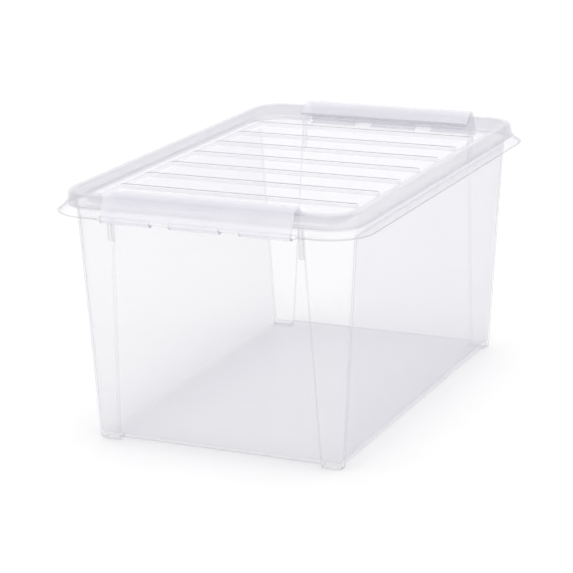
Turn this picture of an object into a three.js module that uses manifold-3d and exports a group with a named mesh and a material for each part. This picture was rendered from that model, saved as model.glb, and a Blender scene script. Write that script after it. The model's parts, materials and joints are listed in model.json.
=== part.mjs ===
// A clear stacking storage bin: a drafted body, a lid with a raised border and stepped slats, and
// two identical clips that turn on rods under the body's rim and hook over the lid's border.
// Millimetres, +Z up, the origin on the surface under the middle. The clips are at the two ends
// of Y, the long direction.
import * as THREE from "three";
import { mergeVertices } from "three/addons/utils/BufferGeometryUtils.js";
import Module from "manifold-3d";

const wasm = await Module();
wasm.setup();

// --- driving dimensions -------------------------------------------------------------------------

const WALL = 2; // thickness of every moulded wall
const GAP = 0.3; // play between pieces that touch
const CORNER_STEPS = 8; // facets in each rounded corner

// Body: half sizes of its outside at two heights, with straight draft between them
const FOOT_Z = 8;
const FOOT_HALF = { x: 156.5, y: 256.5 };
const NECK_Z = 276;
const NECK_HALF = { x: 173.4, y: 273.5 };
const NECK_FADE = 6; // the panels come out flush with the columns over this height
const CORNER_Y = 249; // where the rounded corners begin on the long sides, at every height
const COLUMN_X = { foot: 131, neck: 120 }; // where the corner columns end on the short sides
const PANEL_INSET = 2; // how far the panels lie behind the corner columns
const STEP_WIDTH = 3; // width of the slope from a column down to its panel
const FOOT_HEIGHT = 5; // the corner columns stand this much below the floor panel
const FOOT_EDGE = 5; // rounding of the feet's lower edge
const FOOT_INNER = { x: 129.5, y: 241 }; // where the feet end towards the middle
const FLOOR_TOP = 7.2;
const FLOOR_FILLET = 5; // rounding between the floor and the inside of the walls

// Rim of the body: a flat shoulder that carries the lid, an upstand inside the lid's border, and a
// flare down to the flange's edge
const RIM_HALF = { x: 195, y: 300 }; // outermost edge of the flange
const RIM_RADIUS = 51;
const RIM_EDGE_Z = 279.4;
const SHOULDER_Z = 288.2;
const SHOULDER_OFFSET = -10.6; // the shoulder's outer edge, from the flange's edge
const UPSTAND_OFFSET = -5; // the upstand's outer face, from the lid's outer edge
const UPSTAND_Z = 302;

// Lid: the outer top edge of its raised border, and the recess inside it
const LID_HALF = { x: 181, y: 286.5 };
const LID_RADIUS = 38;
const LID_TOP_Z = 305.3;
const PANEL_Z = 291.3;
const RECESS_OFFSET = -22.5; // from the border's outer edge to the foot of its inner slope

// Slats of the lid: each rises towards the back and ends in a step. The feet of a bin stacked on
// top rest on the flat margin around them.
const SLATS = 7;
const SLAT_PITCH = 64.5;
const SLAT_SHIFT = 8; // of the middle slat's back edge, from the middle of the lid
const SLAT_HALF = 152;
const SLAT_FRONT_Y = -240; // the first slat is cut short here
const SLAT_LOW = 0.3; // above the panel, at the front of a slat
const SLAT_RISE = 3.7; // from the front of a slat to its back
const SLAT_CORNER = 7; // rounding of a slat's back corners, seen from above

// Clip: three knuckles on a rod, a leg outside the border, and a lip down the border's inside
const CLIP_HALF = 117.5;
const ROD = { y: 299.5, z: 280.5, r: 2.4 };
const KNUCKLE_BORE = 2.75;
const KNUCKLE_R = 4.8;
const MIDDLE_KNUCKLE_HALF = 31;
const OUTER_KNUCKLE_START = 55;
const RIM_CUT_Y = 294; // the rim ends here where a knuckle has to turn

// Gussets: pairs of small plates under the rim, one pair near each end of each clip
const GUSSET = { x: 118.7, width: 6, plate: 1.6, low: 248, slope: 5, y: 279.5 };

// Sections as [offset from the outline's edge, height]
const FLARE_SECTION = [
  [SHOULDER_OFFSET - 1, SHOULDER_Z - WALL], [-2.2, RIM_EDGE_Z + 0.2], [-1.6, RIM_EDGE_Z],
  [0, RIM_EDGE_Z], [0, RIM_EDGE_Z + 1.4], [SHOULDER_OFFSET + 2.5, SHOULDER_Z - 1.6],
  [SHOULDER_OFFSET, SHOULDER_Z],
];
const UPSTAND_SECTION = [
  [UPSTAND_OFFSET, SHOULDER_Z], [UPSTAND_OFFSET, UPSTAND_Z - 0.6],
  [UPSTAND_OFFSET - 0.6, UPSTAND_Z], [UPSTAND_OFFSET - WALL + 0.6, UPSTAND_Z],
  [UPSTAND_OFFSET - WALL, UPSTAND_Z - 0.6], [UPSTAND_OFFSET - WALL, SHOULDER_Z],
];
const LID_SECTION = [
  [RECESS_OFFSET - 1, PANEL_Z - WALL], [RECESS_OFFSET + 1.6, PANEL_Z - WALL],
  [-7.6, LID_TOP_Z - WALL], [-3.6, LID_TOP_Z - WALL], [-1.8, LID_TOP_Z - 4],
  [1.1, SHOULDER_Z + GAP], [3.1, SHOULDER_Z + GAP], [2.4, LID_TOP_Z - 9], [0.6, LID_TOP_Z - 3.2],
  [-1.2, LID_TOP_Z - 0.9], [-3.8, LID_TOP_Z], [-8, LID_TOP_Z], [-10, LID_TOP_Z - 1],
  [RECESS_OFFSET + 2, PANEL_Z + 0.9], [RECESS_OFFSET, PANEL_Z],
];

// Section of the clip at the back of the body as [y, z]: down its outside, and back up its inside
const CLIP_SECTION = [
  [303.9, 282.4], [300.4, 288.2], [297.6, 294], [295.9, 300], [294, 305], [291, 308.6],
  [287.2, 310.6], [282.5, 311.1], [278.2, 309.6], [264, 298.6], [262, 296.2],
  [263.6, 295.2], [279, 307.1], [282.9, 308.6], [286.6, 308.1], [289.4, 306.6],
  [291.7, 303.9], [293.4, 299.4], [295, 293.2], [297.5, 287.6], [300.6, 284.4],
];
const KNUCKLE_ARC = { from: -0.8 * Math.PI, to: 0.5 * Math.PI };

// --- solids -------------------------------------------------------------------------------------

function toManifold(geometry) {
  const bare = geometry.clone();
  bare.deleteAttribute("normal");
  bare.deleteAttribute("uv");
  const merged = mergeVertices(bare, 1e-4);
  const mesh = new wasm.Mesh({
    numProp: 3,
    vertProperties: merged.attributes.position.array,
    triVerts: new Uint32Array(merged.index.array),
  });
  return new wasm.Manifold(mesh);
}

function toGeometry(solid) {
  const { vertProperties, triVerts } = solid.getMesh();
  const geometry = new THREE.BufferGeometry();
  geometry.setAttribute("position", new THREE.BufferAttribute(vertProperties, 3));
  geometry.setIndex(new THREE.BufferAttribute(triVerts, 1));
  geometry.computeVertexNormals();
  return geometry;
}

// A solid whose skin runs through rings of equally many points, closed by a flat cap at each end.
function loft(rings) {
  const count = rings[0].length;
  const points = rings.flat();
  const faces = [];
  for (let r = 0; r + 1 < rings.length; r++) {
    for (let i = 0; i < count; i++) {
      const a = r * count + i;
      const b = r * count + ((i + 1) % count);
      faces.push(a, b, b + count, a, b + count, a + count);
    }
  }
  const last = (rings.length - 1) * count;
  const middle = (ring) => new THREE.Vector3(0, 0, ring[0].z);
  points.push(middle(rings[0]), middle(rings[rings.length - 1]));
  for (let i = 0; i < count; i++) {
    const next = (i + 1) % count;
    faces.push(next, i, points.length - 2);
    faces.push(last + i, last + next, points.length - 1);
  }
  const geometry = new THREE.BufferGeometry().setFromPoints(points);
  geometry.setIndex(faces);
  return toManifold(geometry);
}

function box(x0, x1, y0, y1, z0, z1) {
  const geometry = new THREE.BoxGeometry(x1 - x0, y1 - y0, z1 - z0);
  return toManifold(geometry.translate((x0 + x1) / 2, (y0 + y1) / 2, (z0 + z1) / 2));
}

const ALONG_X = new THREE.Matrix4().makeBasis(
  new THREE.Vector3(0, 1, 0),
  new THREE.Vector3(0, 0, 1),
  new THREE.Vector3(1, 0, 0),
);

// A section drawn in Y and Z, run along X from x0 to x1.
function prism(shape, x0, x1, curveSegments = 10) {
  const options = { depth: x1 - x0, bevelEnabled: false, curveSegments };
  const geometry = new THREE.ExtrudeGeometry(shape, options).applyMatrix4(ALONG_X);
  return toManifold(geometry.translate(x0, 0, 0));
}

function polygon(points) {
  return new THREE.Shape(points.map(([a, b]) => new THREE.Vector2(a, b)));
}

function union(solids) {
  return solids.reduce((sum, solid) => sum.add(solid));
}

// The same solid at both ends of Y: as drawn, and turned half a turn about Z.
function atBothEnds(solid) {
  return solid.add(solid.rotate([0, 0, 180]));
}

// --- body ---------------------------------------------------------------------------------------

// An outline with rounded corners. On each side the panel between the columns lies back by inset.
function bodyOutline(half, radius, columnX, inset, z) {
  const quarter = [];
  const centre = { x: half.x - radius, y: half.y - radius };
  quarter.push([half.x - inset, centre.y - STEP_WIDTH]);
  for (let i = 0; i <= CORNER_STEPS; i++) {
    const angle = (Math.PI / 2) * (i / CORNER_STEPS);
    quarter.push([centre.x + radius * Math.cos(angle), centre.y + radius * Math.sin(angle)]);
  }
  quarter.push([columnX, half.y]);
  quarter.push([columnX - STEP_WIDTH, half.y - inset]);
  const left = quarter.map(([x, y]) => [-x, y]).reverse();
  const front = [...quarter, ...left].map(([x, y]) => [-x, -y]);
  return [...quarter, ...left, ...front].map(([x, y]) => new THREE.Vector3(x, y, z));
}

function lerp(low, high, z) {
  return low + ((high - low) * (z - FOOT_Z)) / (NECK_Z - FOOT_Z);
}

// The wall's outline at a height, moved in by depth.
function wallRing(z, depth, inset = PANEL_INSET) {
  const half = {
    x: lerp(FOOT_HALF.x, NECK_HALF.x, z) - depth,
    y: lerp(FOOT_HALF.y, NECK_HALF.y, z) - depth,
  };
  const radius = half.y - CORNER_Y;
  return bodyOutline(half, radius, lerp(COLUMN_X.foot, COLUMN_X.neck, z), inset, z);
}

function rimRing([offset, z]) {
  const half = { x: RIM_HALF.x + offset, y: RIM_HALF.y + offset };
  return bodyOutline(half, RIM_RADIUS + offset, COLUMN_X.neck, 0, z);
}

function lidRing([offset, z]) {
  const half = { x: LID_HALF.x + offset, y: LID_HALF.y + offset };
  return bodyOutline(half, LID_RADIUS + offset, COLUMN_X.neck, 0, z);
}

function bodyShell() {
  const wallOutside = [
    wallRing(0, FOOT_EDGE),
    wallRing(0.3 * FOOT_EDGE, 0.3 * FOOT_EDGE),
    wallRing(FOOT_EDGE, 0),
    wallRing(NECK_Z - NECK_FADE, 0),
    wallRing(NECK_Z, 0, 0),
    wallRing(SHOULDER_Z - WALL, 0, 0),
  ];
  const wallInside = [
    wallRing(SHOULDER_Z, WALL - 0.8, 0),
    wallRing(SHOULDER_Z - 1, WALL, 0),
    wallRing(NECK_Z, WALL, 0),
    wallRing(NECK_Z - NECK_FADE, WALL),
    wallRing(FLOOR_TOP + FLOOR_FILLET, WALL),
    wallRing(FLOOR_TOP + 0.3 * FLOOR_FILLET, WALL + 0.3 * FLOOR_FILLET),
    wallRing(FLOOR_TOP, WALL + FLOOR_FILLET - 0.5),
  ];
  const rim = [...FLARE_SECTION.map(rimRing), ...UPSTAND_SECTION.map(lidRing)];
  return loft([...wallOutside, ...rim, ...wallInside]);
}

// The hollow under the floor, between the four feet.
function underFloor() {
  const reach = FOOT_HALF.y + 10;
  const { x, y } = FOOT_INNER;
  const across = box(-reach, reach, -y, y, -1, FOOT_HEIGHT);
  return across.add(box(-x, x, -reach, reach, -1, FOOT_HEIGHT));
}

// The room that a clip's knuckles need in the rim.
function knuckleCuts() {
  const cut = (x0, x1) => box(x0, x1, RIM_CUT_Y, RIM_HALF.y + 1, RIM_EDGE_Z - 1, SHOULDER_Z + 1);
  const [inner, outer] = [OUTER_KNUCKLE_START - 1, CLIP_HALF + 1];
  const middle = MIDDLE_KNUCKLE_HALF + 1;
  return union([cut(-outer, -inner), cut(-middle, middle), cut(inner, outer)]);
}

function rod() {
  const geometry = new THREE.CylinderGeometry(ROD.r, ROD.r, 2 * CLIP_HALF + 10, 16);
  return toManifold(geometry.rotateZ(Math.PI / 2).translate(0, ROD.y, ROD.z));
}

// One plate of a gusset, rooted in a wall whose outside lies back by inset.
function gussetPlate(x0, inset) {
  const wallY = (z) => lerp(FOOT_HALF.y, NECK_HALF.y, z);
  const root = WALL / 2;
  const top = SHOULDER_Z - root;
  const plate = polygon([
    [wallY(GUSSET.low) - inset - root, GUSSET.low],
    [wallY(GUSSET.low) + 1, GUSSET.low],
    [GUSSET.y, GUSSET.low + GUSSET.slope],
    [GUSSET.y, top],
    [wallY(top) - root, top],
    [wallY(NECK_Z) - root, NECK_Z],
    [wallY(NECK_Z - NECK_FADE) - inset - root, NECK_Z - NECK_FADE],
  ]);
  return prism(plate, x0, x0 + GUSSET.plate);
}

function gussetPair() {
  const inner = gussetPlate(GUSSET.x - GUSSET.width / 2, PANEL_INSET);
  const outer = gussetPlate(GUSSET.x + GUSSET.width / 2 - GUSSET.plate, 0);
  return inner.add(outer);
}

function makeBody() {
  const ends = union([rod(), gussetPair(), gussetPair().mirror([1, 0, 0])]);
  return bodyShell().subtract(underFloor()).subtract(atBothEnds(knuckleCuts()))
    .add(atBothEnds(ends));
}

// --- lid ----------------------------------------------------------------------------------------

// Seen from above, a slat is a rectangle whose two back corners are rounded.
function slatPlan(half, y0, y1, corner) {
  const shape = new THREE.Shape();
  shape.moveTo(-half, y0);
  shape.lineTo(half, y0);
  shape.lineTo(half, y1 - corner);
  shape.absarc(half - corner, y1 - corner, corner, 0, Math.PI / 2);
  shape.lineTo(-half + corner, y1);
  shape.absarc(-half + corner, y1 - corner, corner, Math.PI / 2, Math.PI);
  const [below, above] = [3 * WALL, 2 * SLAT_RISE];
  const options = { depth: below + above, bevelEnabled: false, curveSegments: 5 };
  const geometry = new THREE.ExtrudeGeometry(shape, options);
  return toManifold(geometry.translate(0, 0, PANEL_Z - below));
}

// The wedge under a slat's top, down to base; lowered gives the hollow below the slat.
function slatWedge(y0, y1, base, lowered, margin) {
  const top = (y) => PANEL_Z + SLAT_LOW - lowered + (SLAT_RISE * (y - y0)) / (y1 - y0);
  const [front, back] = [y0 + margin, y1 - margin];
  const section = polygon([[front, base], [back, base], [back, top(back)], [front, top(front)]]);
  const wedge = prism(section, -SLAT_HALF + margin, SLAT_HALF - margin);
  const plan = slatPlan(SLAT_HALF - margin, front, back, SLAT_CORNER - margin);
  return wedge.intersect(plan);
}

function makeLid() {
  let lid = loft(LID_SECTION.map(lidRing));
  for (let i = 0; i < SLATS; i++) {
    const y1 = (i - (SLATS - 1) / 2) * SLAT_PITCH + SLAT_SHIFT;
    const y0 = Math.max(y1 - SLAT_PITCH, SLAT_FRONT_Y);
    lid = lid.add(slatWedge(y0, y1, PANEL_Z - WALL / 2, 0, 0));
    lid = lid.subtract(slatWedge(y0, y1, PANEL_Z - WALL - 1, WALL, WALL));
  }
  return lid;
}

// --- clip ---------------------------------------------------------------------------------------

// A hook of three quarters of a circle, open towards the inside and top of the rim.
function knuckleSection() {
  const { from, to } = KNUCKLE_ARC;
  const shape = new THREE.Shape();
  shape.absarc(ROD.y, ROD.z, KNUCKLE_R, from, to, false);
  shape.absarc(ROD.y, ROD.z, KNUCKLE_BORE, to, from, true);
  return shape;
}

function makeClip() {
  const knuckle = (x0, x1) => prism(knuckleSection(), x0, x1, 20);
  return union([
    prism(polygon(CLIP_SECTION), -CLIP_HALF, CLIP_HALF),
    knuckle(-CLIP_HALF, -OUTER_KNUCKLE_START),
    knuckle(-MIDDLE_KNUCKLE_HALF, MIDDLE_KNUCKLE_HALF),
    knuckle(OUTER_KNUCKLE_START, CLIP_HALF),
  ]);
}

// --- assembly -----------------------------------------------------------------------------------

function piece(name, solid, color) {
  const material = new THREE.MeshStandardMaterial({ color, roughness: 0.15, metalness: 0 });
  const mesh = new THREE.Mesh(toGeometry(solid), material);
  mesh.name = name;
  return mesh;
}

const bin = new THREE.Group();
const clip = makeClip();
const rearClip = piece("rear_clip", clip, 0xd9d8e4);
const frontClip = piece("front_clip", clip, 0xd9d8e4);
frontClip.rotation.z = Math.PI;
bin.add(piece("bin_body", makeBody(), 0xe4e3ee), piece("lid", makeLid(), 0xe0dfeb));
bin.add(frontClip, rearClip);

export default bin;
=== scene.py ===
"""A clear stacking storage bin on a pale floor: body, lid and two end clips in moulded plastic."""
import json
import math

import bmesh
import bpy
from mathutils import Matrix, Vector


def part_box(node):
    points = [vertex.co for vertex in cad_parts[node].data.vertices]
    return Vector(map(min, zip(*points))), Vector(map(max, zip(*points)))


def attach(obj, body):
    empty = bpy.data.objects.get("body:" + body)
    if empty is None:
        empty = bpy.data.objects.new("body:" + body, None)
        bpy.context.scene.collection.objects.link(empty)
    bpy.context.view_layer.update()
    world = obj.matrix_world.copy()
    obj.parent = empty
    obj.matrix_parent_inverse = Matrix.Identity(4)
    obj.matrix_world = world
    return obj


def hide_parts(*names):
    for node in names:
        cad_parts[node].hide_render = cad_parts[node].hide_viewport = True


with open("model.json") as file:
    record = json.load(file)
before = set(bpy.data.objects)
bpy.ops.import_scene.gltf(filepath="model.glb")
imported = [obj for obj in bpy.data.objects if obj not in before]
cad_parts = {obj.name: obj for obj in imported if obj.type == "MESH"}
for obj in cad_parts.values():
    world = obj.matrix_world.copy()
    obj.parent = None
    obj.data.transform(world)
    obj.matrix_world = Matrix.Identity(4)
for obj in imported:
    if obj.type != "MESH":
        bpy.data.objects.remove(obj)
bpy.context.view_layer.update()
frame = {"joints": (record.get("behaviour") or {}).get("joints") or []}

MM = 0.001  # the sections below are in millimetres, the scene in metres

# --- sizes read from the frame --------------------------------------------------------------------


def box_mm(node):
    """The low and the high corner of a node of the frame."""
    low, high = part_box(node)
    return low / MM, high / MM


def joint_mm(name):
    joint = next(j for j in frame["joints"] if j["name"] == name)
    return Vector(joint["pos_m"]) / MM


BODY_HIGH = box_mm("bin_body")[1]
LID_LOW, LID_HIGH = box_mm("lid")
CLIP_HIGH = box_mm("rear_clip")[1]
HINGE = joint_mm("rear_clip_swing")

# --- shape of the mouldings -----------------------------------------------------------------------

WALL = 2.0
CORNER_STEPS = 20  # faces round a corner of an outline
LEAST_RADIUS = 0.4  # of a corner of an outline
OVERLAP = 1.0  # how far a shape reaches past the face where it is joined or cut
CUT_REACH = 10.0  # how far the cuts between the feet run out past the body

# Body: outside half sizes near the foot and at the neck, with straight draft between them
FOOT_Z, NECK_Z = 8.0, 276.0
NECK_FADE = 6.0  # the panels come out level with the columns over this height under the neck
NECK_STEPS = 6
NECK_FILLET = 2.0  # between the neck and the underside of the shoulder
FOOT_HALF, NECK_HALF = (156.5, 256.5), (173.4, 273.5)
CORNER_Y = 249.0
COLUMN_X = (131.0, 120.0)
INSET = 2.0  # how far the panels lie back from the columns
STEP_WIDTH = 3.0
STEP_POINTS = 8
FOOT_HEIGHT = 5.0
FOOT_EDGE = 5.0  # radius of the bottom edge
BASE_LINE = 1.6  # height of the dark line along the bottom of the end walls
FOOT_INNER = (129.5, 241.0)
FLOOR_TOP = 7.2
FLOOR_FILLET = 5.0

RIM_HALF = (BODY_HIGH.x, HINGE.y + 0.5)
RIM_RADIUS = 51.0
RIM_EDGE_Z = 279.4
FLANGE_LIP, FLANGE_LIP_HEIGHT = 2.0, 1.5
SHOULDER_Z = LID_LOW.z - 0.3
SHOULDER_DEPTH = 10.6
SHOULDER_EDGE = 1.2  # radius of the inside edge
UPSTAND_OFFSET = -5.0
UPSTAND_Z = BODY_HIGH.z

LID_HALF = (LID_HIGH.x - 3.1, LID_HIGH.y - 3.1)
LID_RADIUS = 38.0
PANEL_Z = LID_HIGH.z - 14.0
RECESS_OFFSET = -22.5

SLATS = 7
SLAT_PITCH = 64.5
SLAT_SHIFT = 8.0
SLAT_HALF = 152.0
SLAT_FRONT_Y = -240.0
SLAT_LOW, SLAT_RISE = 0.3, 3.7
SLAT_CORNER = 7.0
SLAT_CORNER_STEPS = 12
SLAT_EDGE = 0.9

CLIP_HALF = CLIP_HIGH.x
ROD_R = 2.4
ROD_STEPS = 24
ROD_OVERHANG = 5.0
KNUCKLE_BORE = 2.75
KNUCKLE_R = 4.8
MIDDLE_KNUCKLE_HALF = 31.0
OUTER_KNUCKLE_START = 55.0
KNUCKLE_PLAY = 1.0  # between a knuckle's end and the cut in the flange
KNUCKLE_STEPS = 30
KNUCKLE_FROM = -0.75 * math.pi - 0.15  # the open knuckle's arc begins here, and turns by the sweep
KNUCKLE_SWEEP = 1.25 * math.pi + 0.15
RIM_CUT_Y = HINGE.y - 5.5
RIM_CUT_MARGIN = 3.0

# The clip's plate as (y, z, corner radius): up its outside, over the ridge, down to the end of the
# lip, and back on the inside
CLIP_SECTION = [
    (303.9, 282.0, 0), (300.2, 288.4, 8), (296.2, 299, 12), (293.2, 307.4, 9), (287, 311.1, 7),
    (279.8, 311.1, 9), (262.2, 297.4, 1.0), (263.2, 295.0, 0.8), (279.2, 307.3, 6),
    (281.6, 308.7, 4), (287.4, 308.2, 6), (291.2, 304.8, 6), (294.4, 295.5, 12),
    (297.2, 287.9, 8), (300.6, 284.2, 0),
]

GUSSET_X, GUSSET_WIDTH, GUSSET_PLATE = 118.7, 6.0, 1.6
GUSSET_LOW, GUSSET_SLOPE, GUSSET_Y = 248.0, 5.0, 279.5
GUSSET_BEVEL = 0.2


def lerp(a, b, t):
    return a + (b - a) * t


def smooth(t):
    """An S-shaped course from 0 to 1."""
    return t * t * (3 - 2 * t)


def rounded(points, steps=6):
    """The points of a path (a, b, radius), with an arc of that radius in place of each corner."""
    path = []
    for i, (a, b, radius) in enumerate(points):
        here = Vector((a, b))
        if radius == 0 or i in (0, len(points) - 1):
            path.append((a, b))
            continue
        back = (Vector(points[i - 1][:2]) - here).normalized()
        ahead = (Vector(points[i + 1][:2]) - here).normalized()
        half_angle = back.angle(ahead) / 2
        reach = radius / math.tan(half_angle)
        centre = here + (back + ahead).normalized() * radius / math.sin(half_angle)
        start, end = here + back * reach - centre, here + ahead * reach - centre
        turn = start.angle_signed(end)
        for k in range(steps + 1):
            arm = Matrix.Rotation(-turn * k / steps, 2) @ start
            path.append(tuple(centre + arm))
    return path


# --- mesh helpers ---------------------------------------------------------------------------------


def add_object(name, bm):
    bmesh.ops.recalc_face_normals(bm, faces=bm.faces)
    bmesh.ops.scale(bm, vec=(MM, MM, MM), verts=bm.verts)
    mesh = bpy.data.meshes.new(name)
    bm.to_mesh(mesh)
    bm.free()
    obj = bpy.data.objects.new(name, mesh)
    bpy.context.scene.collection.objects.link(obj)
    return obj


def loft(name, rings):
    """A closed solid whose skin runs through the rings, with a flat face at each end."""
    bm = bmesh.new()
    rows = [[bm.verts.new(p) for p in ring] for ring in rings]
    count = len(rows[0])
    for low, high in zip(rows, rows[1:]):
        for i in range(count):
            j = (i + 1) % count
            bm.faces.new((low[i], low[j], high[j], high[i]))
    bm.faces.new(reversed(rows[0]))
    bm.faces.new(rows[-1])
    return add_object(name, bm)


def prism(name, section, x0, x1, bevel=0.35):
    """A section in Y and Z run along X, with a small bevel around both ends."""
    rings = []
    for x, shrink in ((x0, bevel), (x0 + bevel, 0), (x1 - bevel, 0), (x1, bevel)):
        rings.append([(x, a, b) for a, b in shrunk(section, shrink)])
    return loft(name, rings)


def shrunk(section, distance):
    """The closed section moved inwards by distance, point by point."""
    if distance == 0:
        return section
    count = len(section)
    area = sum(
        section[i][0] * section[(i + 1) % count][1] - section[(i + 1) % count][0] * section[i][1]
        for i in range(count)
    )
    side = 1 if area > 0 else -1
    moved = []
    for i, point in enumerate(section):
        here = Vector(point)
        before = (here - Vector(section[i - 1])).normalized()
        after = (Vector(section[(i + 1) % count]) - here).normalized()
        along = (before + after).normalized()
        inward = Vector((-along.y, along.x)) * side
        moved.append(tuple(here + inward * distance))
    return moved


def combine(obj, others, operation):
    for other in others:
        modifier = obj.modifiers.new("cut", "BOOLEAN")
        modifier.operation = operation
        modifier.solver = "EXACT"
        modifier.object = other
        apply_modifiers(obj)
        bpy.data.objects.remove(other)


def apply_modifiers(obj):
    graph = bpy.context.evaluated_depsgraph_get()
    made = bpy.data.meshes.new_from_object(obj.evaluated_get(graph), depsgraph=graph)
    obj.modifiers.clear()
    obj.data = made


def turned(obj):
    """A copy of the object, turned half a turn about Z."""
    copy = obj.copy()
    copy.data = obj.data.copy()
    copy.data.transform(Matrix.Rotation(math.pi, 4, "Z"))
    bpy.context.scene.collection.objects.link(copy)
    return copy


# The edge value paints shade: dark lines along rounded edges, in place of those that refraction draws
# there.
EDGE_WIDTH = 1.4  # a face of a rounded edge is narrower than this
EDGE_RADIUS = 0.9  # an edge of this radius or less is at its darkest
EDGE_FALL = 1.5  # a higher power keeps the value to the tightest edges
SHARP = math.radians(32)


def mark_edges(mesh, adjust):
    """Stores how tightly each face is bent against its neighbours, from 0 on flat and gently curved
    ones to 1 on sharp edges. There the plastic is milkier, where it is thicker to look through, and
    darker: painted shade, lines in place of the dark lines refraction draws along clear plastic's
    edges.
    The function adjust(value, centre, normal) may change what a face gets; centre is in mm."""
    bm = bmesh.new()
    bm.from_mesh(mesh)
    values = []
    for face in bm.faces:
        longest = max(edge.calc_length() for edge in face.edges)
        turns = [edge.calc_face_angle(0) for edge in face.edges if edge.calc_length() > longest / 2]
        width = face.calc_area() / longest / MM
        bend = sum(turns) / len(turns) / width if width < EDGE_WIDTH else 0
        value = min(1.0, bend * EDGE_RADIUS) ** EDGE_FALL
        values.append(adjust(value, face.calc_center_median() / MM, face.normal))
    bm.free()
    mesh.attributes.new("edge", "FLOAT", "FACE").data.foreach_set("value", values)


def finish_surface(obj, adjust):
    mesh = obj.data
    mark_edges(mesh, adjust)
    for polygon in mesh.polygons:
        polygon.use_smooth = True
    mesh.set_sharp_from_angle(angle=SHARP)
    weighted = obj.modifiers.new("normals", "WEIGHTED_NORMAL")
    weighted.keep_sharp = True
    weighted.weight = 100


# --- body -----------------------------------------------------------------------------------------


def outline(half, radius, column_x, inset, z):
    """A rounded outline whose panels lie back by inset between the corner columns."""
    half_x, half_y = half
    radius = max(radius, LEAST_RADIUS)
    centre_x, centre_y = half_x - radius, half_y - radius
    quarter = []
    for k in range(STEP_POINTS):
        t = k / STEP_POINTS
        quarter.append((half_x - inset * (1 - smooth(t)), centre_y - STEP_WIDTH * (1 - t)))
    for k in range(CORNER_STEPS + 1):
        angle = math.pi / 2 * k / CORNER_STEPS
        quarter.append((centre_x + radius * math.cos(angle), centre_y + radius * math.sin(angle)))
    for k in range(STEP_POINTS + 1):
        t = k / STEP_POINTS
        quarter.append((column_x - STEP_WIDTH * t, half_y - inset * smooth(t)))
    left = [(-x, y) for x, y in reversed(quarter)]
    front = [(-x, -y) for x, y in quarter + left]
    return [(x, y, z) for x, y in quarter + left + front]


def wall_ring(z, depth, inset=INSET):
    """The body's outline at height z, depth inside its outer surface."""
    t = (z - FOOT_Z) / (NECK_Z - FOOT_Z)
    half = [lerp(a, b, t) - depth for a, b in zip(FOOT_HALF, NECK_HALF)]
    return outline(half, half[1] - CORNER_Y, lerp(*COLUMN_X, t), inset, z)


def rim_ring(offset, z):
    half = [a + offset for a in RIM_HALF]
    return outline(half, RIM_RADIUS + offset, COLUMN_X[1], 0, z)


def lid_ring(offset, z):
    half = [a + offset for a in LID_HALF]
    return outline(half, LID_RADIUS + offset, COLUMN_X[1], 0, z)


def quarter_turn(steps=6):
    """Pairs that go from (1, 0) to (0, 1) round a quarter of a circle, as shares of its radius."""
    angles = [math.pi / 2 * k / steps for k in range(steps + 1)]
    return [(1 - math.sin(a), 1 - math.cos(a)) for a in angles]


def wall_outside():
    rings = [wall_ring(FOOT_EDGE * rise, FOOT_EDGE * depth) for depth, rise in quarter_turn()]
    rings.append(wall_ring(FOOT_EDGE + BASE_LINE, 0))
    rings.append(wall_ring(NECK_Z - NECK_FADE, 0))
    rings += [wall_ring(NECK_Z - NECK_FADE * (1 - t), 0, INSET * (1 - smooth(t)))
              for t in (k / NECK_STEPS for k in range(1, NECK_STEPS + 1))]
    under = SHOULDER_Z - WALL
    return rings + [wall_ring(under - NECK_FILLET * fall, -NECK_FILLET * out, 0)
                    for fall, out in quarter_turn(5)]


def wall_inside():
    rings = [wall_ring(SHOULDER_Z - SHOULDER_EDGE * fall, WALL - SHOULDER_EDGE * depth, 0)
             for depth, fall in quarter_turn(4)]
    rings += [wall_ring(NECK_Z - NECK_FADE * t, WALL, INSET * smooth(t))
              for t in (k / NECK_STEPS for k in range(NECK_STEPS + 1))]
    return rings + [wall_ring(FLOOR_TOP + FLOOR_FILLET * rise, WALL + FLOOR_FILLET * depth)
                    for rise, depth in quarter_turn()]


def body_rings():
    """Up the outside, out and back over the flange, up and down the upstand, down the inside; the
    points of the sections are (offset from the rim or the lid's outline, z, corner radius)."""
    under = SHOULDER_Z - WALL
    flare = rounded([
        (-SHOULDER_DEPTH - 4, under, 0),
        (-SHOULDER_DEPTH - 0.8, under, 3),
        (-FLANGE_LIP, RIM_EDGE_Z, 0.5),
        (0.0, RIM_EDGE_Z, 0.5),
        (0.0, RIM_EDGE_Z + FLANGE_LIP_HEIGHT, 0.5),
        (-SHOULDER_DEPTH + 1.2, SHOULDER_Z, 3),
        (-SHOULDER_DEPTH - 2, SHOULDER_Z, 0),
    ])
    inner = UPSTAND_OFFSET - WALL
    upstand = rounded([
        (UPSTAND_OFFSET + 1, SHOULDER_Z, 0),
        (UPSTAND_OFFSET, SHOULDER_Z, 0.6),
        (UPSTAND_OFFSET, UPSTAND_Z, 0.9),
        (inner, UPSTAND_Z, 0.9),
        (inner, SHOULDER_Z, 0.4),
        (inner - 0.6, SHOULDER_Z, 0),
    ])
    rim = [rim_ring(*point) for point in flare] + [lid_ring(*point) for point in upstand]
    return wall_outside() + rim + wall_inside()


def cut_box(x0, x1, y0, y1, z0, z1):
    return loft("cut", [[(x, y, z) for x, y in ((x0, y0), (x1, y0), (x1, y1), (x0, y1))]
                        for z in (z0, z1)])


def cut_feet(body):
    """Hollows the underside between the four feet."""
    x, y = FOOT_INNER
    reach = FOOT_HALF[1] + CUT_REACH
    cuts = [cut_box(-reach, reach, -y, y, -OVERLAP, FOOT_HEIGHT),
            cut_box(-x, x, -reach, reach, -OVERLAP, FOOT_HEIGHT)]
    combine(body, cuts, "DIFFERENCE")


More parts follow.
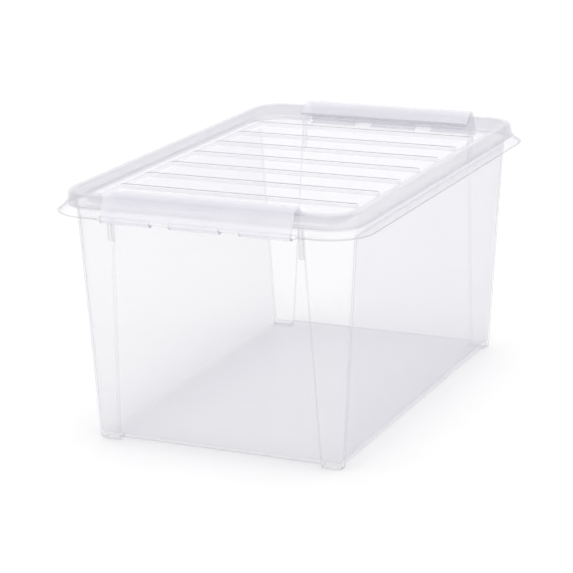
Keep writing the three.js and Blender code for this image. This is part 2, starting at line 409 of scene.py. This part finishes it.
def cut_knuckles(body):
    """Cuts the flange away at both ends where the clips' knuckles turn."""
    inner, outer = OUTER_KNUCKLE_START - KNUCKLE_PLAY, CLIP_HALF + KNUCKLE_PLAY
    middle = MIDDLE_KNUCKLE_HALF + KNUCKLE_PLAY
    end = RIM_HALF[1] + RIM_CUT_MARGIN
    low, high = RIM_EDGE_Z - RIM_CUT_MARGIN, SHOULDER_Z + RIM_CUT_MARGIN
    for x0, x1 in ((-outer, -inner), (-middle, middle), (inner, outer)):
        cut = cut_box(x0, x1, RIM_CUT_Y, end, low, high)
        combine(body, [turned(cut), cut], "DIFFERENCE")


def wall_y(z):
    """How far out the end columns' surface lies at height z."""
    return lerp(FOOT_HALF[1], NECK_HALF[1], (z - FOOT_Z) / (NECK_Z - FOOT_Z))


def gusset_plate(x0, inset):
    """A plate from the wall to the shoulder's underside, on a column or on a panel set back."""
    root = WALL / 2  # how deep the plate sits in the wall
    top = SHOULDER_Z - root
    fade = NECK_Z - NECK_FADE
    plate = rounded([
        (wall_y(GUSSET_LOW) - inset - root, GUSSET_LOW, 0),
        (wall_y(GUSSET_LOW) + 1, GUSSET_LOW, 0.5),
        (GUSSET_Y, GUSSET_LOW + GUSSET_SLOPE, 2.5),
        (GUSSET_Y, top, 0),
        (wall_y(top) - root, top, 0),
        (wall_y(NECK_Z) - root, NECK_Z, 0),
        (wall_y(fade) - inset - root, fade, 0),
    ])
    return prism("gusset", plate, x0, x0 + GUSSET_PLATE, GUSSET_BEVEL)


def round_hinge(radius, angles):
    """Points on a circle round the rear clip's axis, as (y, z)."""
    return [(HINGE.y + radius * math.cos(a), HINGE.z + radius * math.sin(a)) for a in angles]


def rods_and_gussets():
    """What the body carries at its rear end for a clip: the rod, and two pairs of plates."""
    circle = round_hinge(ROD_R, [math.tau * k / ROD_STEPS for k in range(ROD_STEPS)])
    low, high = GUSSET_X - GUSSET_WIDTH / 2, GUSSET_X + GUSSET_WIDTH / 2 - GUSSET_PLATE
    plates = [(low, INSET), (high, 0), (-low - GUSSET_PLATE, INSET), (-high - GUSSET_PLATE, 0)]
    rod = prism("rod", circle, -CLIP_HALF - ROD_OVERHANG, CLIP_HALF + ROD_OVERHANG)
    return [rod] + [gusset_plate(x0, inset) for x0, inset in plates]


def make_body():
    body = loft("body_shell", body_rings())
    cut_feet(body)
    cut_knuckles(body)
    for extra in rods_and_gussets():
        combine(body, [turned(extra), extra], "UNION")
    return body


# --- lid ------------------------------------------------------------------------------------------


def slat_outline(half, y0, y1, corner, inset, height, base):
    """The outline of a slat with two rounded rear corners, at height(y) above base."""
    points = [(-half + inset, y0 + inset), (half - inset, y0 + inset)]
    for side, start in ((1, 0), (-1, math.pi / 2)):
        for k in range(SLAT_CORNER_STEPS + 1):
            angle = start + math.pi / 2 * k / SLAT_CORNER_STEPS
            points.append((side * (half - corner) + (corner - inset) * math.cos(angle),
                           y1 - corner + (corner - inset) * math.sin(angle)))
    return [(x, y, base + height(y)) for x, y in points]


def slat(name, y0, y1, half, corner, base, top_z):
    """A slat that rises from top_z at y0, with its walls down to base and a rounded top edge."""
    def height(y, drop=0):
        return (top_z + SLAT_RISE * (y - y0) / (y1 - y0) - base) * (1 - drop / SLAT_RISE)

    rings = [slat_outline(half, y0, y1, corner, 0, lambda y: 0, base)]
    for depth, fall in quarter_turn(5):
        inset, drop = SLAT_EDGE * (1 - depth), SLAT_EDGE * (1 - fall)
        rings.append(slat_outline(half, y0, y1, corner, inset,
                                  lambda y, d=drop: height(y, d), base))
    return loft(name, rings)


def slat_hollow(name, y0, y1, half, corner, base, top_z):
    """The space under a slat, with plain edges."""
    def height(y):
        return top_z + SLAT_RISE * (y - y0) / (y1 - y0) - base

    return loft(name, [
        slat_outline(half, y0, y1, corner, 0, lambda y: 0, base),
        slat_outline(half, y0, y1, corner, 0, height, base),
    ])


def add_slat(lid, y0, y1):
    """Joins a slat to the lid and hollows it from below."""
    low = PANEL_Z + SLAT_LOW
    slab = slat("slat", y0, y1, SLAT_HALF, SLAT_CORNER, PANEL_Z - OVERLAP, low)
    combine(lid, [slab], "UNION")
    hollow = slat_hollow("hollow", y0 + WALL, y1 - WALL, SLAT_HALF - WALL, SLAT_CORNER - WALL,
                         PANEL_Z - WALL - OVERLAP, low - WALL)
    combine(lid, [hollow], "DIFFERENCE")


def make_lid():
    """The border, from the panel's underside round the skirt to the panel's top, closed by the
    panel, and the slats; the section's points are (offset from the outline, z, corner radius)."""
    under = PANEL_Z - WALL
    skirt = LID_LOW.z
    section = rounded([
        (RECESS_OFFSET - 4.5, under, 0),
        (RECESS_OFFSET + 1.8, under, 2.0),
        (-7.9, LID_HIGH.z - WALL, 2.0),
        (-1.6, LID_HIGH.z - WALL, 3.0),
        (1.1, skirt, 0.3),
        (3.1, skirt, 0.5),
        (0.6, LID_HIGH.z, 5.0),
        (-8.6, LID_HIGH.z, 3.0),
        (RECESS_OFFSET, PANEL_Z, 3.0),
        (RECESS_OFFSET - 4.5, PANEL_Z, 0),
    ])
    lid = loft("lid_shell", [lid_ring(offset, z) for offset, z in section])
    for i in range(SLATS):
        y1 = (i - (SLATS - 1) / 2) * SLAT_PITCH + SLAT_SHIFT
        add_slat(lid, max(y1 - SLAT_PITCH, SLAT_FRONT_Y), y1)
    return lid


# --- clips ----------------------------------------------------------------------------------------


def make_clip():
    """The rear clip: a bent plate and three open knuckles."""
    clip = prism("clip", rounded(CLIP_SECTION), -CLIP_HALF, CLIP_HALF)
    arc = [KNUCKLE_FROM + KNUCKLE_SWEEP * k / KNUCKLE_STEPS for k in range(KNUCKLE_STEPS + 1)]
    knuckle = round_hinge(KNUCKLE_R, arc) + round_hinge(KNUCKLE_BORE, reversed(arc))
    spans = ((-CLIP_HALF, -OUTER_KNUCKLE_START), (-MIDDLE_KNUCKLE_HALF, MIDDLE_KNUCKLE_HALF),
             (OUTER_KNUCKLE_START, CLIP_HALF))
    combine(clip, [prism("knuckle", knuckle, x0, x1) for x0, x1 in spans], "UNION")
    return clip


# --- edge values of the faces, with painted shade and light ---------------------------------------

# LINES multiply the value from mark_edges. The others are added to it or put in its place, and
# the feet's value only where it is more: above 0 is milkier and darker, below 0 is clearer. They
# are set part by part for the tone each part shows from this camera: the lines and darker bands
# are painted shade, the lid's lighter top and the clearer floor painted light.
SKIRT_SHADE, SLOPE_SHADE, TOP_LIGHTER = 0.3, 0.08, -0.28
SLAT_SHADE_LINES, STEP_CLEAR = 1.8, -0.25
PLATE_LINES, PLATE_END = 0.3, -0.3
KNUCKLE_END_SHADE, KNUCKLE_CLEAR = 2.0, -0.04
COLUMN_LINES, FLANGE_SHADE_LINES = 0.6, 1.1
RIM_CLEAR, FLOOR_LIGHTER = -0.35, -0.14
BASE_SHADE, FOOT_SHADE = 0.6, 0.2

# Kinds of faces, told apart by the share of their normal along Z or X
STEEP, LEVEL = 0.3, 0.95
FLOOR_LEVEL = 0.9
SKIRT_TILT, SLOPE_TILT = 0.5, 0.85
END_TILT, END_SQUARE = 0.5, 0.99

PLAIN = 0.5  # a face with a smaller value is not part of an edge
SLACK = 0.1  # the middle of a face may lie this far past the level it is compared with
SLAT_MARGIN = 1.0
SKIRT_EDGE = 1.5  # height of the skirt's low edge
FLANGE_BELOW, FLANGE_ABOVE = 1.0, 2.0  # the flange's edge lies between these, round RIM_EDGE_Z


def lid_edge(value, centre, normal):
    """On the slats only the rear edge has a line, painted shade that fades round the corners; the
    border's skirt and slope are milkier and darker than its top, painted shade by how each face is
    turned, the top clearer and lighter, painted light, and the skirt has no line along its low edge."""
    level = abs(normal.z)
    on_slats = SLAT_FRONT_Y - SLAT_MARGIN < centre.y < SLAT_MARGIN - SLAT_FRONT_Y
    # On the slats, a painted shade line on the rear-facing edges only.
    if abs(centre.x) < SLAT_HALF + SLAT_MARGIN and on_slats:
        towards_rear = max(0, normal.y) / math.hypot(normal.x, normal.y, 0.01)
        is_step = level < STEEP and value < PLAIN
        return STEP_CLEAR if is_step else value * SLAT_SHADE_LINES * towards_rear
    if PANEL_Z - WALL - SLACK < centre.z < PANEL_Z + SLACK:
        return value
    # Painted shade and light by how the border's faces are turned: skirt and slope darker, top
    # lighter.
    if centre.z < LID_LOW.z + SKIRT_EDGE:
        return SKIRT_SHADE
    if level < SKIRT_TILT:
        return value + SKIRT_SHADE
    return value + (SLOPE_SHADE if level < SLOPE_TILT else TOP_LIGHTER)


def clip_edge(value, centre, normal):
    """The knuckles' ends get painted shade, for the darkness seen looking down their length; their
    sides and the ends of the plate are clearer, and the plate's bevelled ends have a weaker painted
    line."""
    beside_rod = abs(centre.y) > HINGE.y - KNUCKLE_R - SLACK
    on_knuckle = centre.z < HINGE.z + KNUCKLE_R / 2 and beside_rod
    # Painted shade on the knuckles' ends.
    if abs(normal.x) > END_SQUARE:
        return KNUCKLE_END_SHADE if on_knuckle else PLATE_END
    if on_knuckle:
        return KNUCKLE_CLEAR
    return value * PLATE_LINES if abs(normal.x) > END_TILT else value


def body_edge(value, centre, normal):
    """The flange and the bottom of the end walls have a painted shade line along their edge, and the
    feet are milkier and darker underneath, painted shade; the floor is clearer, painted light that
    lifts the shade under the bin, and the clips' rods and what lies under the border are clearer."""
    on_rod = abs(centre.y) > HINGE.y - ROD_R and abs(centre.x) < CLIP_HALF
    if on_rod or centre.z > RIM_EDGE_Z + FLANGE_ABOVE:
        return 0 if STEEP < abs(normal.z) < LEVEL else RIM_CLEAR
    # Painted shade line along the flange's edge.
    if centre.z > RIM_EDGE_Z - FLANGE_BELOW:
        return value * FLANGE_SHADE_LINES
    # Painted shade under the feet.
    if centre.z < FOOT_HEIGHT - SLACK:
        return max(value, FOOT_SHADE)
    # Painted light on the floor, against the shade under the bin.
    if centre.z < FLOOR_TOP + SLACK and abs(normal.z) > FLOOR_LEVEL:
        return FLOOR_LIGHTER
    on_end_wall = abs(centre.y) > FOOT_HALF[1] - INSET - WALL / 2
    between_feet = abs(centre.x) < FOOT_INNER[0]
    # Painted shade line along the bottom of the end walls.
    if centre.z < FOOT_EDGE + BASE_LINE and on_end_wall and between_feet:
        return BASE_SHADE
    return value * COLUMN_LINES


# --- materials ------------------------------------------------------------------------------------

PLASTIC_IOR = 1.49
# The darker tone at rounded edges is painted shade.
EDGE_SHADE_TONE = 0.50  # tone of the milky share at a rounded edge, against its tone on a flat face
GRAZING_POWER = 5.0  # a higher power keeps the haze nearer to the faces seen edge-on
FACING_BLEND = 0.5
CLOUD_SCALE, CLOUD_DETAIL = 7.0, 4.0
CLOUD_TINT = 1.08  # the clouds' lightest tone, against the tint
LEAST_COVER, CLOUD_COVER = 0.8, 0.4  # share of the cover everywhere, and more of it in the clouds
PEEL_STRENGTH, PEEL_DISTANCE, PEEL_DETAIL = 0.05, 0.0005, 3.0


def value_node(tree, operation, first, second):
    """A Math node; each of first and second is a socket or a number."""
    node = tree.nodes.new("ShaderNodeMath")
    node.operation = operation
    for socket, source in zip(node.inputs, (first, second)):
        if isinstance(source, (int, float)):
            socket.default_value = source
        else:
            tree.links.new(source, socket)
    return node.outputs["Value"]


def mix_colours(tree, factor, first, second):
    """A colour Mix node; each colour is a socket or three numbers."""
    node = tree.nodes.new("ShaderNodeMix")
    node.data_type = "RGBA"
    tree.links.new(factor, node.inputs[0])
    for socket, source in zip(node.inputs[6:8], (first, second)):
        if isinstance(source, tuple):
            socket.default_value = (*source, 1)
        else:
            tree.links.new(source, socket)
    return node.outputs[2]


def noise(tree, scale, detail):
    """A noise pattern fixed to the object."""
    coordinates = tree.nodes.new("ShaderNodeTexCoord")
    node = tree.nodes.new("ShaderNodeTexNoise")
    node.inputs["Scale"].default_value = scale
    node.inputs["Detail"].default_value = detail
    tree.links.new(coordinates.outputs["Object"], node.inputs["Vector"])
    return node.outputs["Fac"]


def add_scaled(tree, source, factor, offset):
    """The source times factor plus offset; each of the two is a socket or a number."""
    total = value_node(tree, "MULTIPLY_ADD", source, factor)
    third = total.node.inputs[2]
    if isinstance(offset, (int, float)):
        third.default_value = offset
    else:
        tree.links.new(offset, third)
    return total


def add_peel(tree, grain, shader):
    """A fine orange peel on the shader's surface."""
    bump = tree.nodes.new("ShaderNodeBump")
    bump.inputs["Strength"].default_value = PEEL_STRENGTH
    bump.inputs["Distance"].default_value = PEEL_DISTANCE
    tree.links.new(noise(tree, grain, PEEL_DETAIL), bump.inputs["Height"])
    tree.links.new(bump.outputs["Normal"], shader.inputs["Normal"])


def milky_share(tree, edge, clouds, cover, at_edges, at_grazing):
    """How much of the light the plastic keeps: its cover, and more at edges and at grazing angles."""
    facing = tree.nodes.new("ShaderNodeLayerWeight")
    facing.inputs["Blend"].default_value = FACING_BLEND
    grazing = value_node(tree, "POWER", facing.outputs["Facing"], GRAZING_POWER)
    rise = add_scaled(tree, edge, at_edges, value_node(tree, "MULTIPLY", grazing, at_grazing))
    haze = add_scaled(tree, clouds, cover * CLOUD_COVER, cover * LEAST_COVER)
    share = value_node(tree, "ADD", haze, rise)
    share.node.use_clamp = True
    return share


def let_light_through(tree, share, shader):
    """Mixes the shader, by its share, with light that goes straight through."""
    through = tree.nodes.new("ShaderNodeBsdfTransparent")
    mix = tree.nodes.new("ShaderNodeMixShader")
    tree.links.new(share, mix.inputs[0])
    tree.links.new(through.outputs["BSDF"], mix.inputs[1])
    tree.links.new(shader.outputs["BSDF"], mix.inputs[2])
    tree.links.new(mix.outputs["Shader"], tree.nodes["Material Output"].inputs["Surface"])


def clear_plastic(name, tint, cover, at_edges, at_grazing, roughness, grain):
    """Clear moulded plastic: light goes straight through all but a share of it, which is larger at
    rounded edges and where a face is seen edge-on; that share is milky and glossy, with faint
    clouds in its colour and gloss and a fine orange peel, and darker at rounded edges: painted shade."""
    material = bpy.data.materials.new(name)
    material.use_nodes = True
    tree = material.node_tree
    shader = tree.nodes["Principled BSDF"]
    shader.inputs["IOR"].default_value = PLASTIC_IOR
    attribute = tree.nodes.new("ShaderNodeAttribute")
    attribute.attribute_name = "edge"
    edge = attribute.outputs["Fac"]
    clouds = noise(tree, CLOUD_SCALE, CLOUD_DETAIL)
    cloudy = mix_colours(tree, clouds, tint, tuple(c * CLOUD_TINT for c in tint))
    # Darker where the edge value is high: painted shade lines along the edges.
    tone = mix_colours(tree, edge, cloudy, tuple(c * EDGE_SHADE_TONE for c in tint))
    tree.links.new(tone, shader.inputs["Base Color"])
    gloss = add_scaled(tree, clouds, roughness, roughness / 2)
    tree.links.new(gloss, shader.inputs["Roughness"])
    add_peel(tree, grain, shader)
    share = milky_share(tree, edge, clouds, cover, at_edges, at_grazing)
    let_light_through(tree, share, shader)
    return material


def pale_floor():
    material = bpy.data.materials.new("pale_floor")
    material.use_nodes = True
    shader = material.node_tree.nodes["Principled BSDF"]
    shader.inputs["Base Color"].default_value = (0.93, 0.93, 0.93, 1)
    shader.inputs["Roughness"].default_value = 0.9
    shader.inputs["Specular IOR Level"].default_value = 0.0
    return material


# --- assembly -------------------------------------------------------------------------------------


def place(obj, body, node, material, adjust):
    """Finishes a piece and puts it on its body, in place of the frame's node."""
    finish_surface(obj, adjust)
    obj.data.materials.clear()
    obj.data.materials.append(material)
    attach(obj, body)
    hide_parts(node)


body_plastic = clear_plastic("body_plastic", tint=(0.60, 0.59, 0.65), cover=0.068,
                             at_edges=0.45, at_grazing=1.5, roughness=0.08, grain=900)
lid_plastic = clear_plastic("lid_plastic", tint=(0.70, 0.69, 0.75), cover=0.16,
                            at_edges=0.45, at_grazing=0.45, roughness=0.08, grain=900)
# The clip's lighter tint is painted light, lifting the shade where its layers stack on one another.
clip_plastic = clear_plastic("clip_plastic", tint=(0.82, 0.81, 0.86), cover=0.36,
                             at_edges=0.40, at_grazing=0.6, roughness=0.12, grain=1200)

place(make_body(), "bin", "bin_body", body_plastic, body_edge)
place(make_lid(), "lid", "lid", lid_plastic, lid_edge)
rear = make_clip()
rear.name = "rear_clip_moulding"
front = turned(rear)
front.name = "front_clip_moulding"
place(rear, "rear_clip", "rear_clip", clip_plastic, clip_edge)
place(front, "front_clip", "front_clip", clip_plastic, clip_edge)

# --- floor, light and camera ----------------------------------------------------------------------

FLOOR_SIZE = 40  # metres
WHITE = (1, 1, 1, 1)
STUDIO_LIGHT = 1.18
BOUNCES = 32  # light passes many walls of clear plastic

CAMERA_AT = (1.0552, -2.3930, 0.8701)
CAMERA_TURN, CAMERA_DOWN, CAMERA_ROLL = 0.424, 0.274, 0.017  # radians
LENS, SENSOR = 137.3, 36


def make_floor():
    bpy.ops.mesh.primitive_plane_add(size=FLOOR_SIZE)
    floor = bpy.context.object
    floor.name = "floor"
    floor.data.materials.append(pale_floor())


def light_studio():
    """The same white light from all sides."""
    world = bpy.data.worlds.new("studio")
    bpy.context.scene.world = world
    world.use_nodes = True
    background = world.node_tree.nodes["Background"]
    background.inputs["Color"].default_value = WHITE
    background.inputs["Strength"].default_value = STUDIO_LIGHT


def make_camera():
    """The photograph's point of view."""
    data = bpy.data.cameras.new("camera")
    data.lens = LENS
    data.sensor_width = SENSOR
    camera = bpy.data.objects.new("camera", data)
    bpy.context.scene.collection.objects.link(camera)
    turn = (Matrix.Rotation(CAMERA_TURN, 4, "Z") @ Matrix.Rotation(math.pi / 2 - CAMERA_DOWN, 4, "X")
            @ Matrix.Rotation(-CAMERA_ROLL, 4, "Z"))
    camera.matrix_world = Matrix.Translation(CAMERA_AT) @ turn
    bpy.context.scene.camera = camera


make_floor()
light_studio()
make_camera()
scene = bpy.context.scene
scene.view_settings.view_transform = "Standard"
scene.cycles.max_bounces = BOUNCES
scene.cycles.transmission_bounces = BOUNCES
scene.cycles.transparent_max_bounces = BOUNCES
